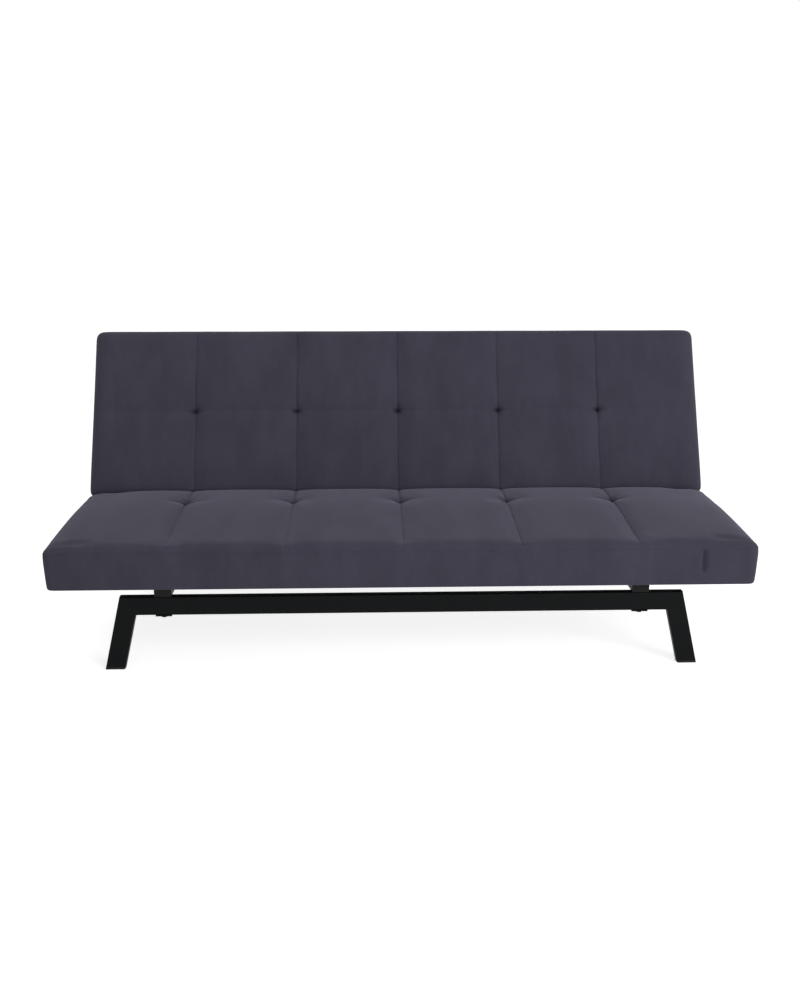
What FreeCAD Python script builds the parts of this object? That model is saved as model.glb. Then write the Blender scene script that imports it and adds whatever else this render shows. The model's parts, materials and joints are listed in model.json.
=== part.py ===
import FreeCAD, Part
import Sketcher
import os
import re
from math import cos, pi, sin
from FreeCAD import Vector

# Click clack sofa bed: a seat and a back of equal upholstery, hinged on a steel frame.
# Lengths are millimetres. X runs along the sofa, +Y points to its rear, +Z is up.
# The seat and the back are drawn lying flat, as a bed, with Y counted from the seat's front
# face. Placements then centre the sofa on the origin and swing the back up on its pivot.

doc = FreeCAD.newDocument("click_clack_sofa_bed")
sheet = doc.addObject("Spreadsheet::Sheet", "Size")

DRIVING_SIZES = (
    # overall
    ("overall_width", 1800),
    ("seat_depth", 513),
    ("back_length", 500),
    ("back_angle", 67),
    ("depth_centre", 410.64),
    # upholstery
    ("underside_z", 239),
    ("foam_z", 283),
    ("top_z", 369),
    ("crown", 2),
    ("seam_dip", 3),
    ("column_count", 6),
    ("edge_radius", 24),
    ("head_radius", 22),
    ("square_corner", 12),
    ("rear_corner", 30),
    ("head_corner", 25),
    ("tuft_depth", 11),
    ("channel_half", 28),
    ("border_thick", 10),
    ("cover_thick", 1),
    # timber frames
    ("rail_width", 30),
    ("slat_width", 60),
    ("slat_thick", 8),
    ("slat_pitch", 140),
    # hinge bays: how far the seat's plates reach, and the strips' ends either side of the bays
    ("bay_front_y", 440),
    ("strip_front_end", 430),
    ("strip_rear_start", 600),
    # hinge line, where the plates of each end turn
    ("pivot_y", 528),
    ("pivot_z", 339),
    ("pivot_gap", 15),
    ("bay_inner", 611),
    ("bay_outer", 633),
    ("back_plate_x", 615),
    ("bracket_x", 619.5),
    ("seat_plate_x", 625),
    ("plate_thick", 4),
    ("bracket_thick", 5),
    ("knuckle_radius", 18),
    ("pin_radius", 6),
    ("pin_clearance", 0.06),
    # ratchet
    ("root_radius", 33),
    ("tip_radius", 38),
    ("tooth_pitch", 33.5),
    ("nose_radius", 4),
    ("pawl_y", -55),
    ("pawl_z", -52),
    ("pawl_pin_radius", 4),
    ("post_y", -112),
    ("post_z", -84),
    ("post_radius", 3),
    ("tail_y", -77),
    ("tail_z", -57),
    ("coil_radius", 4),
    ("wire_radius", 0.8),
    ("spring_eye", 6.5),
    # steel frame
    ("tube_height", 50),
    ("tube_width", 25),
    ("tube_wall", 2),
    ("tube_radius", 4),
    ("beam_top", 198),
    ("beam_half", 734.5),
    ("foot_half", 780.5),
    ("front_tube_y", 67),
    ("rear_tube_y", 765),
    ("cap_height", 6),
    ("bar_x", 622),
    ("bar_width", 45),
    ("bar_height", 38),
    ("bar_radius", 3),
    ("strip_height", 2.7),
    ("plug_depth", 8),
    ("lid_thick", 2),
    # fixings
    ("bolt_radius", 4),
    ("bolt_play", 0.3),
    ("head_thick", 4),
    ("head_across", 15),
    ("clamp_half", 21),
    ("clamp_thick", 3),
    ("nut_thick", 6.5),
    ("screw_length", 26),
)

for row, (alias, size) in enumerate(DRIVING_SIZES, start=1):
    sheet.set("A%d" % row, alias)
    sheet.set("B%d" % row, str(size))
    sheet.setAlias("B%d" % row, alias)
doc.recompute()

ALIASES = {alias for alias, size in DRIVING_SIZES}
SIDES = (("left", -1), ("right", 1))
bodies = []


def on_sheet(formula):
    """Write a formula of the sheet's names as an expression of this document."""
    return re.sub("[a-z_]+", lambda m: "Size." + m.group() if m.group() in ALIASES else m.group(), formula)


def value(formula):
    return float(sheet.evalExpression(on_sheet(formula)))


# Where the pieces drawn flat stand in the sofa.
CENTRED = "create(<<vector>>; 0; -depth_centre; 0)"
PIVOT = "create(<<vector>>; 0; pivot_y; pivot_z)"
UPRIGHT = "create(<<rotation>>; create(<<vector>>; 1; 0; 0); %s)"
STANDING = {
    "seat": "create(<<placement>>; %s; %s; %s)" % (CENTRED, UPRIGHT % "0", PIVOT),
    "back": "create(<<placement>>; %s; %s; %s)" % (CENTRED, UPRIGHT % "back_angle", PIVOT),
}
STANDING["base"] = STANDING["seat"]


def new_body(label, group):
    """One piece of the sofa, or one group of like pieces, drawn flat and placed in the sofa."""
    body = doc.addObject("PartDesign::Body", label)
    body.Label = label
    body.AllowCompound = True
    body.setExpression("Placement", on_sheet(STANDING[group]))
    bodies.append(body)
    return body


def add_loop(sketch, corners):
    """Close a loop through corners (u, v), or (u, v, through_u, through_v) before an arc."""
    points = [Vector(value(c[0]), value(c[1]), 0) for c in corners]
    ends = []
    for i, corner in enumerate(corners):
        start = points[i]
        end = points[(i + 1) % len(points)]
        if len(corner) == 4:
            through = Vector(value(corner[2]), value(corner[3]), 0)
            turned = (through - start).cross(end - through).z < 0
            arc = Part.Arc(end, through, start) if turned else Part.Arc(start, through, end)
            edge = sketch.addGeometry(arc, False)
        else:
            edge = sketch.addGeometry(Part.LineSegment(start, end), False)
            turned = False
        ends.append((edge, 2, 1) if turned else (edge, 1, 2))
    for i, corner in enumerate(corners):
        edge, first, last = ends[i]
        following = ends[(i + 1) % len(ends)]
        sketch.addConstraint(Sketcher.Constraint("Coincident", edge, last, following[0], following[1]))
        for kind, formula in (("DistanceX", corner[0]), ("DistanceY", corner[1])):
            place = Sketcher.Constraint(kind, -1, 1, edge, first, value(formula))
            sketch.setExpression("Constraints[%d]" % sketch.addConstraint(place), on_sheet(formula))


def add_circle(sketch, u, v, radius):
    centre = Vector(value(u), value(v), 0)
    ring = sketch.addGeometry(Part.Circle(centre, Vector(0, 0, 1), value(radius)), False)
    for kind, formula in (("DistanceX", u), ("DistanceY", v)):
        place = Sketcher.Constraint(kind, -1, 1, ring, 3, value(formula))
        sketch.setExpression("Constraints[%d]" % sketch.addConstraint(place), on_sheet(formula))
    size = sketch.addConstraint(Sketcher.Constraint("Radius", ring, value(radius)))
    sketch.setExpression("Constraints[%d]" % size, on_sheet(radius))


def draw(body, plane, level, loops=(), circles=()):
    """A sketch of the body, square to an axis at a level along it."""
    sketch = body.newObject("Sketcher::SketchObject", "Outline")
    origin = [f for f in body.Origin.OriginFeatures if f.Role == plane + "_Plane"][0]
    sketch.AttachmentSupport = [(origin, "")]
    sketch.MapMode = "FlatFace"
    if plane == "XZ":
        level = "-(%s)" % level
    sketch.setExpression("AttachmentOffset.Base.z", on_sheet(level))
    for corners in loops:
        add_loop(sketch, corners)
    for u, v, radius in circles:
        add_circle(sketch, u, v, radius)
    return sketch


def pad(body, sketch, length, both_ways=False, along=None):
    feature = body.newObject("PartDesign::Pad", "Pad")
    feature.Profile = sketch
    feature.Midplane = both_ways
    if along is not None:
        feature.UseCustomVector = True
        feature.Direction = along
        feature.AlongSketchNormal = True
    feature.setExpression("Length", on_sheet(length))
    doc.recompute()
    return feature


def pocket(body, sketch, length, both_ways=False):
    """Cut away what the sketch covers, towards the plus side of its normal."""
    before = body.Shape.Volume
    feature = body.newObject("PartDesign::Pocket", "Pocket")
    feature.Profile = sketch
    feature.Midplane = both_ways
    feature.Reversed = not both_ways
    feature.setExpression("Length", on_sheet(length))
    doc.recompute()
    if body.Shape.Volume > before - 1e-3:
        raise ValueError("the pocket in %s cuts nothing" % body.Label)
    return feature


def round_edges(body, feature, radius, chosen):
    """Round the feature's edges that the test chooses, judged in the body's own frame."""
    names = []
    for number, edge in enumerate(feature.Shape.Edges, start=1):
        if chosen(edge):
            names.append("Edge%d" % number)
    rounding = body.newObject("PartDesign::Fillet", "Rounding")
    rounding.Base = (feature, names)
    rounding.setExpression("Radius", on_sheet(radius))
    doc.recompute()
    return rounding


def runs_along(edge, direction):
    return edge.Curve.TypeId == "Part::GeomLine" and abs(edge.Curve.Direction.dot(direction)) > 0.999


def rectangle(u0, u1, v0, v1):
    return [(u0, v0), (u1, v0), (u1, v1), (u0, v1)]


def mirrored(side, near, far):
    """The span from near to far on the right, or its mirror image on the left."""
    if side > 0:
        return near, far
    return "-(%s)" % far, "-(%s)" % near


def plate(body, side, near_x, far_x, loops=(), circles=()):
    """A sheet or shaft that lies square to X, drawn in Y and Z."""
    low, high = mirrored(side, near_x, far_x)
    sketch = draw(body, "YZ", low, loops, circles)
    return pad(body, sketch, "(%s) - (%s)" % (high, low))


def drill(body, side, near_x, far_x, circles):
    low, high = mirrored(side, near_x, far_x)
    sketch = draw(body, "YZ", low, (), circles)
    return pocket(body, sketch, "(%s) - (%s)" % (high, low))


def bars(body, spans, low_z, high_z):
    """Straight bars of one height, each given as its X span and its Y span."""
    loops = [rectangle(*span) for span in spans]
    return pad(body, draw(body, "XY", low_z, loops), "(%s) - (%s)" % (high_z, low_z))


# Points about the pivot, in the flat drawing.

def at_y(offset):
    return "pivot_y + (%s)" % offset


def at_z(offset):
    return "pivot_z + (%s)" % offset


def about_pivot(points):
    corners = []
    for point in points:
        corner = [at_y(point[0]), at_z(point[1])]
        if len(point) == 4:
            corner += [at_y(point[2]), at_z(point[3])]
        corners.append(tuple(corner))
    return corners


# Steel frame: splayed legs mitred to two beams, and two bars across them.

LEG_LEAN = "(foot_half - beam_half) / beam_top"
LEG_WIDTH = "tube_height * sqrt(1 + (%s)^2)" % LEG_LEAN
MITRE_X = "beam_half + tube_height * %s - %s" % (LEG_LEAN, LEG_WIDTH)
TUBES = (("front", "front_tube_y"), ("rear", "rear_tube_y"))


def make_beam(name, tube_y):
    body = new_body(name + "_beam", "base")
    foot = "beam_top - tube_height"
    outer = rectangle(tube_y, tube_y + " + tube_width", foot, "beam_top")
    inner = rectangle(tube_y + " + tube_wall", tube_y + " + tube_width - tube_wall",
                      foot + " + tube_wall", "beam_top - tube_wall")
    tube = pad(body, draw(body, "YZ", "0", [outer, inner]), "2 * beam_half", both_ways=True)
    corners = [value(c) for c in (tube_y, tube_y + " + tube_width")]
    heights = [value(c) for c in (foot, "beam_top")]

    def outer_edge(edge):
        spot = edge.CenterOfMass
        at_corner = min(abs(spot.y - c) for c in corners) < 0.1
        at_height = min(abs(spot.z - c) for c in heights) < 0.1
        return runs_along(edge, Vector(1, 0, 0)) and at_corner and at_height

    round_edges(body, tube, "tube_radius", outer_edge)
    ends = []
    for side in ("-1", "1"):
        ends.append([
            (side + " * (2 * (%s) - beam_half)" % MITRE_X, "beam_top - 2 * tube_height"),
            (side + " * (2 * beam_half - (%s))" % MITRE_X, "beam_top + tube_height"),
            (side + " * (2 * beam_half - (%s))" % MITRE_X, "beam_top - 2 * tube_height"),
        ])
    middle = tube_y + " + tube_width / 2"
    pocket(body, draw(body, "XZ", middle, ends), "4 * tube_width", both_ways=True)
    bolts = [(side + " * bar_x", middle, "bolt_radius + bolt_play") for side in ("-1", "1")]
    pocket(body, draw(body, "XY", "beam_top - tube_height - clamp_thick", (), bolts), "2 * tube_height")


def leg_direction(side):
    return Vector(-side * value(LEG_LEAN), 0, 1)


def leg_section(side, tube_y, level, inset, clearance="0"):
    """The leg's outline where a level plane cuts it, drawn in by an inset."""
    slope = "sqrt(1 + (%s)^2)" % LEG_LEAN
    outer_x = "foot_half - (%s) * (%s)" % (level, LEG_LEAN)
    wall = "(%s + %s)" % (inset, clearance)
    low, high = mirrored(side, "%s - %s + %s * %s" % (outer_x, LEG_WIDTH, wall, slope),
                         "%s - %s * %s" % (outer_x, wall, slope))
    return rectangle(low, high, tube_y + " + " + wall, tube_y + " + tube_width - " + wall)


def make_leg(name, tube_y, side_name, side):
    body = new_body("%s_leg_%s" % (name, side_name), "base")
    section = [leg_section(side, tube_y, "cap_height", "0"),
               leg_section(side, tube_y, "cap_height", "tube_wall")]
    along = leg_direction(side)
    tube = pad(body, draw(body, "XY", "cap_height", section), "beam_top - cap_height", along=along)
    direction = Vector(along).normalize()
    outer_length = max(e.Length for e in tube.Shape.Edges if runs_along(e, direction))
    corners = [value(tube_y), value(tube_y + " + tube_width")]

    def outer_edge(edge):
        at_corner = min(abs(edge.CenterOfMass.y - c) for c in corners) < 0.1
        return runs_along(edge, direction) and at_corner and edge.Length > 0.9 * outer_length

    round_edges(body, tube, "tube_radius", outer_edge)
    sign = "%d * " % side
    beyond = [
        (sign + "(2 * (%s) - beam_half)" % MITRE_X, "beam_top - 2 * tube_height"),
        (sign + "(2 * beam_half - (%s))" % MITRE_X, "beam_top + tube_height"),
        (sign + "(2 * (%s) - beam_half)" % MITRE_X, "beam_top + tube_height"),
    ]
    middle = tube_y + " + tube_width / 2"
    pocket(body, draw(body, "XZ", middle, [beyond]), "4 * tube_width", both_ways=True)


def make_foot_cap(name, tube_y, side_name, side):
    """A plastic cap under the leg, with a plug that stands up inside the tube."""
    body = new_body("%s_foot_cap_%s" % (name, side_name), "base")
    along = leg_direction(side)
    shoe = draw(body, "XY", "0", [leg_section(side, tube_y, "0", "0")])
    cap = pad(body, shoe, "cap_height", along=along)
    direction = Vector(along).normalize()
    round_edges(body, cap, "tube_radius", lambda edge: runs_along(edge, direction))
    plug = [leg_section(side, tube_y, "cap_height", "tube_wall", "0.15")]
    pad(body, draw(body, "XY", "cap_height", plug), "3 * cap_height", along=along)


BAR_FRONT = "front_tube_y + lid_thick"
BAR_REAR = "rear_tube_y + tube_width - lid_thick"
BAR_TOP = "beam_top + bar_height"
BOLT_ROWS = ("front_tube_y + tube_width / 2", "rear_tube_y + tube_width / 2")


def make_crossbar(side_name, side):
    body = new_body("crossbar_" + side_name, "base")
    low, high = mirrored(side, "bar_x - bar_width / 2", "bar_x + bar_width / 2")
    outer = rectangle(low, high, "beam_top", BAR_TOP)
    inner = rectangle(low + " + tube_wall", high + " - tube_wall",
                      "beam_top + tube_wall", BAR_TOP + " - tube_wall")
    length = "(%s) - (%s)" % (BAR_REAR, BAR_FRONT)
    tube = pad(body, draw(body, "XZ", BAR_REAR, [outer, inner]), length)
    edges_x = [value(low), value(high)]

    def outer_edge(edge):
        at_corner = min(abs(edge.CenterOfMass.x - x) for x in edges_x) < 0.1
        return runs_along(edge, Vector(0, 1, 0)) and at_corner

    round_edges(body, tube, "bar_radius", outer_edge)
    holes = [("%d * bar_x" % side, row, "bolt_radius + bolt_play") for row in BOLT_ROWS]
    pocket(body, draw(body, "XY", "beam_top - tube_wall", (), holes), "2 * tube_wall + 0.1")


def make_crossbar_end_caps():
    body = new_body("crossbar_end_caps", "base")
    for side_name, side in SIDES:
        low, high = mirrored(side, "bar_x - bar_width / 2", "bar_x + bar_width / 2")
        lid = rectangle(low, high, "beam_top", BAR_TOP)
        plug = rectangle(low + " + tube_wall + 0.15", high + " - tube_wall - 0.15",
                         "(beam_top + %s) / 2" % BAR_TOP, BAR_TOP + " - tube_wall - 0.15")
        ends = ((BAR_FRONT, BAR_FRONT + " + plug_depth"), (BAR_REAR + " + lid_thick", BAR_REAR))
        for lid_y, plug_y in ends:
            pad(body, draw(body, "XZ", lid_y, [lid]), "lid_thick")
            pad(body, draw(body, "XZ", plug_y, [plug]), "plug_depth")


def hexagon(u, v):
    """A bolt head's or nut's outline about a centre."""
    size = "head_across / sqrt(3)"
    return [("%s + %s * cos(%d deg)" % (u, size, 60 * k), "%s + %s * sin(%d deg)" % (v, size, 60 * k))
            for k in range(6)]


def make_fixings():
    """Clamp plates under the beams, and the bolts that draw them to nuts in the crossbars."""
    spots = [("%d * bar_x" % side, row, side) for side_name, side in SIDES for row in BOLT_ROWS]
    under = "beam_top - tube_height - clamp_thick"
    plates = new_body("clamp_plates", "base")
    loops = []
    for x, row, side in spots:
        low, high = mirrored(side, "bar_x - clamp_half", "bar_x + clamp_half")
        loops.append(rectangle(low, high, row + " - tube_width / 2", row + " + tube_width / 2"))
    holes = [(x, row, "bolt_radius + bolt_play") for x, row, side in spots]
    pad(plates, draw(plates, "XY", under, loops, holes), "clamp_thick")
    bolts = new_body("frame_bolts", "base")
    shanks = [(x, row, "bolt_radius") for x, row, side in spots]
    heads = [hexagon(x, row) for x, row, side in spots]
    pad(bolts, draw(bolts, "XY", under + " - head_thick", heads), "head_thick")
    grip = "clamp_thick + tube_height + tube_wall + nut_thick + 2"
    pad(bolts, draw(bolts, "XY", under, (), shanks), grip)
    nuts = new_body("weld_nuts", "base")
    bores = [(x, row, "bolt_radius + 0.05") for x, row, side in spots]
    pad(nuts, draw(nuts, "XY", "beam_top + tube_wall", heads, bores), "nut_thick")


def make_hinge_bracket(side_name, side):
    """A plate welded upright on the crossbar, with the pivot's hole in its round head."""
    body = new_body("hinge_bracket_" + side_name, "base")
    foot = BAR_TOP + " - pivot_z"
    outline = about_pivot([
        ("-30", foot),
        ("30", foot),
        ("knuckle_radius", "0", "0", "knuckle_radius"),
        ("-knuckle_radius", "0"),
    ])
    bore = (at_y("0"), at_z("0"), "pin_radius + pin_clearance")
    plate(body, side, "bracket_x", "bracket_x + bracket_thick", [outline], [bore])


def make_pivot_pins():
    """The shafts through the back arm, the bracket and the seat arm, headed at both ends."""
    body = new_body("pivot_pins", "base")
    shaft = [(at_y("0"), at_z("0"), "pin_radius")]
    head = [(at_y("0"), at_z("0"), "pin_radius + 3")]
    near = "back_plate_x - bolt_play"
    far = "seat_plate_x + plate_thick + bolt_play"
    for side_name, side in SIDES:
        plate(body, side, near + " - 2.2", near, (), head)
        plate(body, side, near, far, (), shaft)
        plate(body, side, far, far + " + 2.2", (), head)


def make_bearing_strips(side_name, side):
    """Felt strips on the crossbar, either side of the plates, that the seat and back lie on."""
    body = new_body("bearing_strips_" + side_name, "base")
    inner = mirrored(side, "bar_x - bar_width / 2", "bay_inner")
    outer = mirrored(side, "bay_outer", "bar_x + bar_width / 2")
    spans = []
    for low, high in (inner, outer):
        spans.append((low, high, BAR_FRONT + " + bar_radius", "strip_front_end"))
        spans.append((low, high, "strip_rear_start", BAR_REAR + " - bar_radius"))
    bars(body, spans, BAR_TOP, BAR_TOP + " + strip_height")


# Upholstery and timber frames: the seat and the back share one construction.

HALF = "overall_width / 2"
PANELS = {
    "seat": {
        "start": "0",
        "end": "seat_depth",
        "tuft_y": "367",
        "start_radius": "edge_radius",
        "end_radius": "edge_radius",
        "start_corner": "square_corner",
        "end_corner": "rear_corner",
        "edge_names": ("seat_front", "seat_rear"),
        "bay_rails": (("bay_inner - rail_width", "bay_inner"),
                      ("seat_plate_x + plate_thick", "seat_plate_x + plate_thick + rail_width")),
    },
    "back": {
        "start": "pivot_y + pivot_gap",
        "end": "pivot_y + pivot_gap + back_length",
        "tuft_y": "pivot_y + pivot_gap + back_length / 2",
        "start_radius": "edge_radius",
        "end_radius": "head_radius",
        "start_corner": "square_corner",
        "end_corner": "head_corner",
        "edge_names": ("back_lower", "back_upper"),
        "bay_rails": (("back_plate_x - rail_width", "back_plate_x"),
                      ("bay_outer", "bay_outer + rail_width")),
    },
}

# The pockets that the hinge plates turn in, cut in each cushion in Y and Z.
CLEARANCES = {
    "seat": [
        ("bay_front_y - 8", "foam_z"),
        ("seat_depth + 5", "foam_z"),
        ("seat_depth + 5", at_z("21")),
        (at_y("-46"), at_z("21")),
        (at_y("-46"), at_z("-14")),
        ("bay_front_y - 8", at_z("-14")),
    ],
    "back": [
        (at_y("10"), "foam_z"),
        (at_y("78"), "foam_z"),
        (at_y("78"), at_z("-14")),
        (at_y("43"), at_z("-14")),
        (at_y("43"), at_z("21")),
        (at_y("10"), at_z("21")),
    ],
}


# Steps from a row's outer edge to the tuft row: (share of the way, pull of the stitching).
ROW_STEPS = ((0, 0), (0.4, 0), (0.82, 0.08), (0.94, 0.45), (1, 1))
ROUNDING_STEPS = (0, 30, 60)


def stations(panel):
    """The cushion's sections along Y: (y, drop of the top, rounding left, narrowing, pull)."""
    start, end, tuft_y = panel["start"], panel["end"], panel["tuft_y"]
    first, last = panel["start_radius"], panel["end_radius"]
    places = []
    for degrees in ROUNDING_STEPS:
        sunk = "(1 - sin(%d deg))" % degrees
        y = "%s + %s * (1 - cos(%d deg))" % (start, first, degrees)
        places.append((y, "%s * %s" % (first, sunk), sunk, panel["start_corner"], 0))
    rows = (("(%s + %s)" % (start, first), ROW_STEPS), ("(%s - %s)" % (end, last), ROW_STEPS[-2::-1]))
    for edge, steps in rows:
        for share, pull in steps:
            swell = 4 * share * (1 - share)
            y = "%s + %g * (%s - %s)" % (edge, share, tuft_y, edge)
            places.append((y, "%g * seam_dip - %g * crown" % (pull, swell), "0", "0", pull))
    for degrees in reversed(ROUNDING_STEPS):
        sunk = "(1 - sin(%d deg))" % degrees
        y = "%s - %s * (1 - cos(%d deg))" % (end, last, degrees)
        places.append((y, "%s * %s" % (last, sunk), sunk, panel["end_corner"], 0))
    return places


def cushion_section(drop, sunk, corner, pull):
    """The cushion's front view at one station: columns that swell between sewn channels."""
    top = "(top_z - (%s))" % drop
    half = "(%s - %s * %s)" % (HALF, corner, sunk)
    valley = "(%s - seam_dip * (1 - %s) - %g * tuft_depth)" % (top, sunk, pull)
    peak = "%s + crown * (1.15 - %s)" % (top, sunk)
    count = int(value("column_count"))
    corners = [
        ("-" + half, "foam_z"),
        ("-" + half, top + " - edge_radius",
         "-%s + edge_radius * 0.293" % half, top + " - edge_radius * 0.293"),
    ]
    left = "-%s + edge_radius" % half
    for k in range(1, count):
        seam = "-%s + %d * overall_width / column_count" % (HALF, k)
        right = seam + " - channel_half"
        corners.append((left, top))
        corners.append(("(%s + %s) / 2" % (left, right), peak))
        corners.append((right, top))
        corners.append((seam, valley))
        left = seam + " + channel_half"
    right = "%s - edge_radius" % half
    corners += [
        (left, top),
        ("(%s + %s) / 2" % (left, right), peak),
        (right, top, "%s - edge_radius * 0.293" % half, top + " - edge_radius * 0.293"),
        (half, top + " - edge_radius"),
        (half, "foam_z"),
    ]
    return corners


def corner_offcuts(panel, inset):
    """The four bits outside the rounded corners of a panel, seen from above."""
    rims = (("(%s) + %s" % (panel["start"], inset), "1", panel["start_corner"]),
            ("(%s) - %s" % (panel["end"], inset), "-1", panel["end_corner"]))
    offcuts = []
    for side in ("1", "-1"):
        edge = side + " * (%s - %s)" % (HALF, inset)
        out = side + " * (%s - %s + 5)" % (HALF, inset)
        for rim, away, corner in rims:
            radius = "(%s - border_thick)" % corner
            turn = side + " * (%s - %s - %s)" % (HALF, inset, radius)
            bow = side + " * (%s - %s - %s * 0.293)" % (HALF, inset, radius)
            beside = "%s + %s * %s" % (rim, away, radius)
            offcuts.append([
                (out, "%s - %s * 5" % (rim, away)),
                (out, beside),
                (edge, beside, bow, "%s + %s * %s * 0.293" % (rim, away, radius)),
                (turn, rim),
                (turn, "%s - %s * 5" % (rim, away)),
            ])
    return offcuts


def make_cushion(group):
    """Foam under its cover, with crowned columns, sewn channels and a row of pulled tufts."""
    panel = PANELS[group]
    body = new_body(group + "_cushion", group)
    sections = []
    for y, drop, sunk, corner, pull in stations(panel):
        sections.append(draw(body, "XZ", y, [cushion_section(drop, sunk, corner, pull)]))
    loft = body.newObject("PartDesign::AdditiveLoft", "Foam")
    loft.Profile = sections[0]
    loft.Sections = sections[1:]
    loft.Ruled = True
    doc.recompute()
    for side_name, side in SIDES:
        low, high = mirrored(side, "bay_inner", "bay_outer")
        pocket(body, draw(body, "YZ", low, [CLEARANCES[group]]), "bay_outer - bay_inner")


def make_borders(group):
    """The upholstered rim around the timber frame, in a strip along each side."""
    panel = PANELS[group]
    start, end = panel["start"], panel["end"]
    near, far = panel["start_corner"], panel["end_corner"]
    hinged = "end" if group == "seat" else "start"
    for name, edge, corner in zip(panel["edge_names"], ("start", "end"), (near, far)):
        turn = "%s - %s" % (HALF, corner)
        spans = [("-(%s)" % turn, turn)]
        if edge == hinged:
            spans = [("-(%s)" % turn, "-bay_outer"), ("-bay_inner", "bay_inner"), ("bay_outer", turn)]
        low, high = (start, start + " + border_thick") if edge == "start" else (end + " - border_thick", end)
        strip = new_body(name + "_border", group)
        bars(strip, [(x0, x1, low, high) for x0, x1 in spans], "underside_z", "foam_z")
    for side_name, side in SIDES:
        strip = new_body("%s_end_border_%s" % (group, side_name), group)
        sign = "%d * " % side
        edge = sign + "(%s)" % HALF
        face = sign + "(%s - border_thick)" % HALF
        near_step, far_step = (sign + "(%s - %s)" % (HALF, corner) for corner in (near, far))
        near_bow, far_bow = (sign + "(%s - %s * 0.293)" % (HALF, corner) for corner in (near, far))
        near_in, far_in = ("(%s - border_thick)" % corner for corner in (near, far))
        near_face, far_face = (sign + "(%s - border_thick - %s * 0.293)" % (HALF, radius)
                               for radius in (near_in, far_in))
        near_rim, far_rim = "%s + border_thick" % start, "%s - border_thick" % end
        loop = [
            (near_step, start, near_bow, "%s + %s * 0.293" % (start, near)),
            (edge, "%s + %s" % (start, near)),
            (edge, "%s - %s" % (end, far), far_bow, "%s - %s * 0.293" % (end, far)),
            (far_step, end),
            (far_step, far_rim, far_face, "%s - %s * 0.293" % (far_rim, far_in)),
            (face, "%s - %s" % (end, far)),
            (face, "%s + %s" % (start, near), near_face, "%s + %s * 0.293" % (near_rim, near_in)),
            (near_step, near_rim),
        ]
        pad(strip, draw(strip, "XY", "underside_z", [loop]), "foam_z - underside_z")


def make_timber_frame(group):
    """Rails round the panel, rails either side of the hinge bays, and slats between."""
    panel = PANELS[group]
    start, end = panel["start"], panel["end"]
    near_name, far_name = panel["edge_names"]
    low_z, high_z = "underside_z + cover_thick", "foam_z"
    near_outer, near_inner = "%s + border_thick" % start, "%s + border_thick + rail_width" % start
    far_outer, far_inner = "%s - border_thick" % end, "%s - border_thick - rail_width" % end
    end_outer, end_inner = HALF + " - border_thick", HALF + " - border_thick - rail_width"
    (inner_near, inner_far), (outer_near, outer_far) = panel["bay_rails"]

    whole = [("-(%s)" % end_inner, end_inner)]
    broken = [("-(%s)" % end_inner, "-(%s)" % outer_far), ("-(%s)" % inner_near, inner_near),
              (outer_far, end_inner)]
    near_spans, far_spans = (whole, broken) if group == "seat" else (broken, whole)
    rows = ((near_name, near_spans, near_outer, near_inner), (far_name, far_spans, far_inner, far_outer))
    for name, spans, low, high in rows:
        rail = new_body(name + "_rail", group)
        bars(rail, [(x0, x1, low, high) for x0, x1 in spans], low_z, high_z)

    for side_name, side in SIDES:
        rail = new_body("%s_end_rail_%s" % (group, side_name), group)
        low, high = mirrored(side, end_inner, end_outer)
        shape = bars(rail, [(low, high, near_outer, far_outer)], low_z, high_z)
        outside = value("%d * (%s)" % (side, end_outer))
        for corner, row in ((panel["start_corner"], near_outer), (panel["end_corner"], far_outer)):
            corner_y = value(row)

            def outer_corner(edge):
                spot = edge.CenterOfMass
                at_corner = abs(spot.x - outside) < 0.1 and abs(spot.y - corner_y) < 0.1
                return runs_along(edge, Vector(0, 0, 1)) and at_corner

            shape = round_edges(rail, shape, corner + " - border_thick + 0.5", outer_corner)

    cross = new_body(group + "_cross_rails", group)
    if group == "seat":
        reach = (near_inner, far_outer)
        screws_at, screw_face = SCREW_ROWS["seat"], "seat_plate_x + plate_thick"
    else:
        reach = (near_outer, far_inner)
        screws_at, screw_face = SCREW_ROWS["back"], "back_plate_x - screw_length"
    spans = [("-rail_width / 2", "rail_width / 2", near_inner, far_inner)]
    for near, far in panel["bay_rails"]:
        for side_name, side in SIDES:
            spans.append(mirrored(side, near, far) + reach)
    bars(cross, spans, low_z, high_z)
    holes = [(at_y(row), at_z(SCREW_Z), "bolt_radius + 0.05") for row in screws_at]
    for side_name, side in SIDES:
        drill(cross, side, screw_face, screw_face + " + screw_length", holes)

    slats = new_body(group + "_slats", group)
    places = []
    for step in (1, 2, 3, 5):
        for side_name, side in SIDES:
            middle = "%d * slat_pitch" % step
            low, high = mirrored(side, middle + " - slat_width / 2", middle + " + slat_width / 2")
            places.append((low, high, near_inner, far_inner))
    bars(slats, places, high_z + " - slat_thick", high_z)


def make_dust_cover(group):
    """Thin cloth under the timber frame, slotted where the hinge plates pass."""
    panel = PANELS[group]
    start, end = panel["start"], panel["end"]
    body = new_body(group + "_dust_cover", group)
    inset = "(border_thick + 0.5)"
    side = "%s - %s" % (HALF, inset)
    sheet_span = ("-(%s)" % side, side, "%s + %s" % (start, inset), "%s - %s" % (end, inset))
    bars(body, [sheet_span], "underside_z", "underside_z + cover_thick")
    pocket(body, draw(body, "XY", "underside_z - 1", corner_offcuts(panel, inset)), "cover_thick + 2")
    slot = (at_y("-45"), end) if group == "seat" else (start, at_y("43"))
    slots = [rectangle(*(mirrored(s, "bay_inner", "bay_outer") + slot)) for name, s in SIDES]
    pocket(body, draw(body, "XY", "underside_z - 1", slots), "cover_thick + 2")


# Hinge plates and the ratchet between them. Offsets are from the pivot.

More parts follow.
